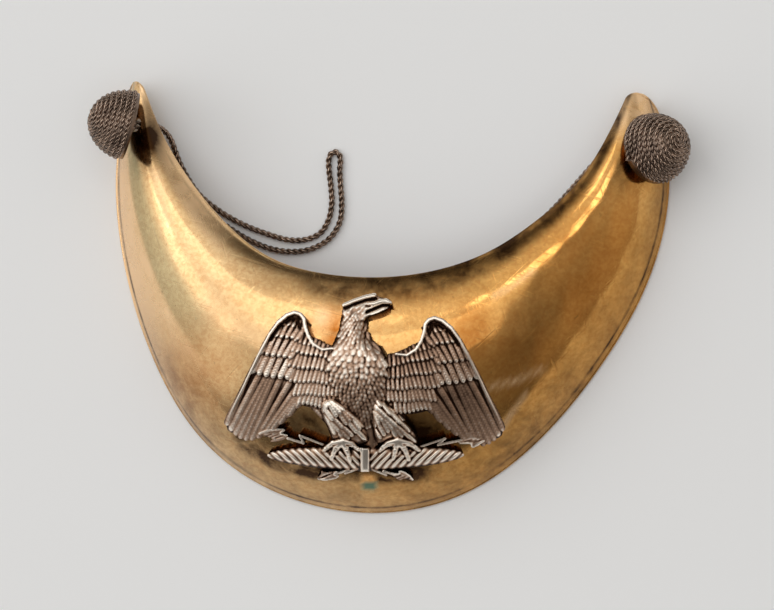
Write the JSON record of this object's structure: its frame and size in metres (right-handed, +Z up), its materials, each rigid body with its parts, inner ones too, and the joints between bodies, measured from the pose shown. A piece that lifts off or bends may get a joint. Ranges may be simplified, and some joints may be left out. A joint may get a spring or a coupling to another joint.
{
  "type": "gorget",
  "caption": "Crescent-shaped domed brass officer's gorget with a raised eagle badge, cord-wound dome buttons on the horns and doubled hanging cord loops.",
  "frame": {"origin": "on the surface that it lies on, under the middle of the plate and buttons", "axes": "+Z up out of the domed face, +Y towards the horns, +X towards the right-hand horn as seen from the front"},
  "size_m": [0.16, 0.1136, 0.0346],
  "materials": {
    "gilt_brass": "polished, worn and lightly scratched, with a little tarnish",
    "oxidised_silver": "cast silver, bright on the high points and dark in the recesses",
    "button_cord": "tarnished metal-thread cord wound in a spiral",
    "loop_cord": "tarnished two-ply twisted metal-thread cord"
  },
  "bodies": {
    "root": {"gorget_plate": "gilt_brass", "eagle_badge": "oxidised_silver", "left_button": "button_cord", "right_button": "button_cord", "left_cord_loop": "loop_cord", "right_cord_loop": "loop_cord"}
  },
  "joints": []
}
